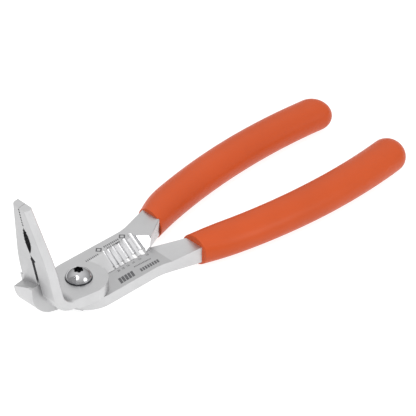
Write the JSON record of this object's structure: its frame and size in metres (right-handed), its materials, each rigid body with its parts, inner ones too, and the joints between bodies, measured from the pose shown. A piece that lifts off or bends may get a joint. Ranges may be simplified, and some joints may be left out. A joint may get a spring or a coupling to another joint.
{
  "type": "bent nose wire stripping pliers",
  "caption": "Lap-joint pliers with a bent-up serrated nose, a row of wire stripping holes between the pivot and the handles, and dipped vinyl grips.",
  "frame": {"origin": "on the pivot axis, on the plane that the pliers rest on: the centre of the pivot nut's underside", "axes": "+X from the nose to the ends of the handles, +Y towards the upper half's handle, +Z along the pivot screw to its head, the way that the nose bends"},
  "size_m": [0.1935, 0.0658, 0.06],
  "materials": {
    "steel": "satin bead-blasted alloy steel with brighter ground faces",
    "grip": "orange dipped vinyl, soft semi-gloss",
    "polished_steel": "bright polished",
    "dark_steel": "black oxide spring steel"
  },
  "bodies": {
    "lower": {"lower_half": "steel", "lower_grip": "grip", "pivot_screw": "polished_steel", "pivot_nut": "polished_steel", "spring_washer": "dark_steel"},
    "upper": {"upper_half": "steel", "upper_grip": "grip"}
  },
  "joints": [
    {"name": "pivot", "type": "hinge", "parent": "lower", "child": "upper", "pos_m": [0, 0, 0.0074], "axis": [0, 0, 1], "range_deg": [0, 36]}
  ]
}
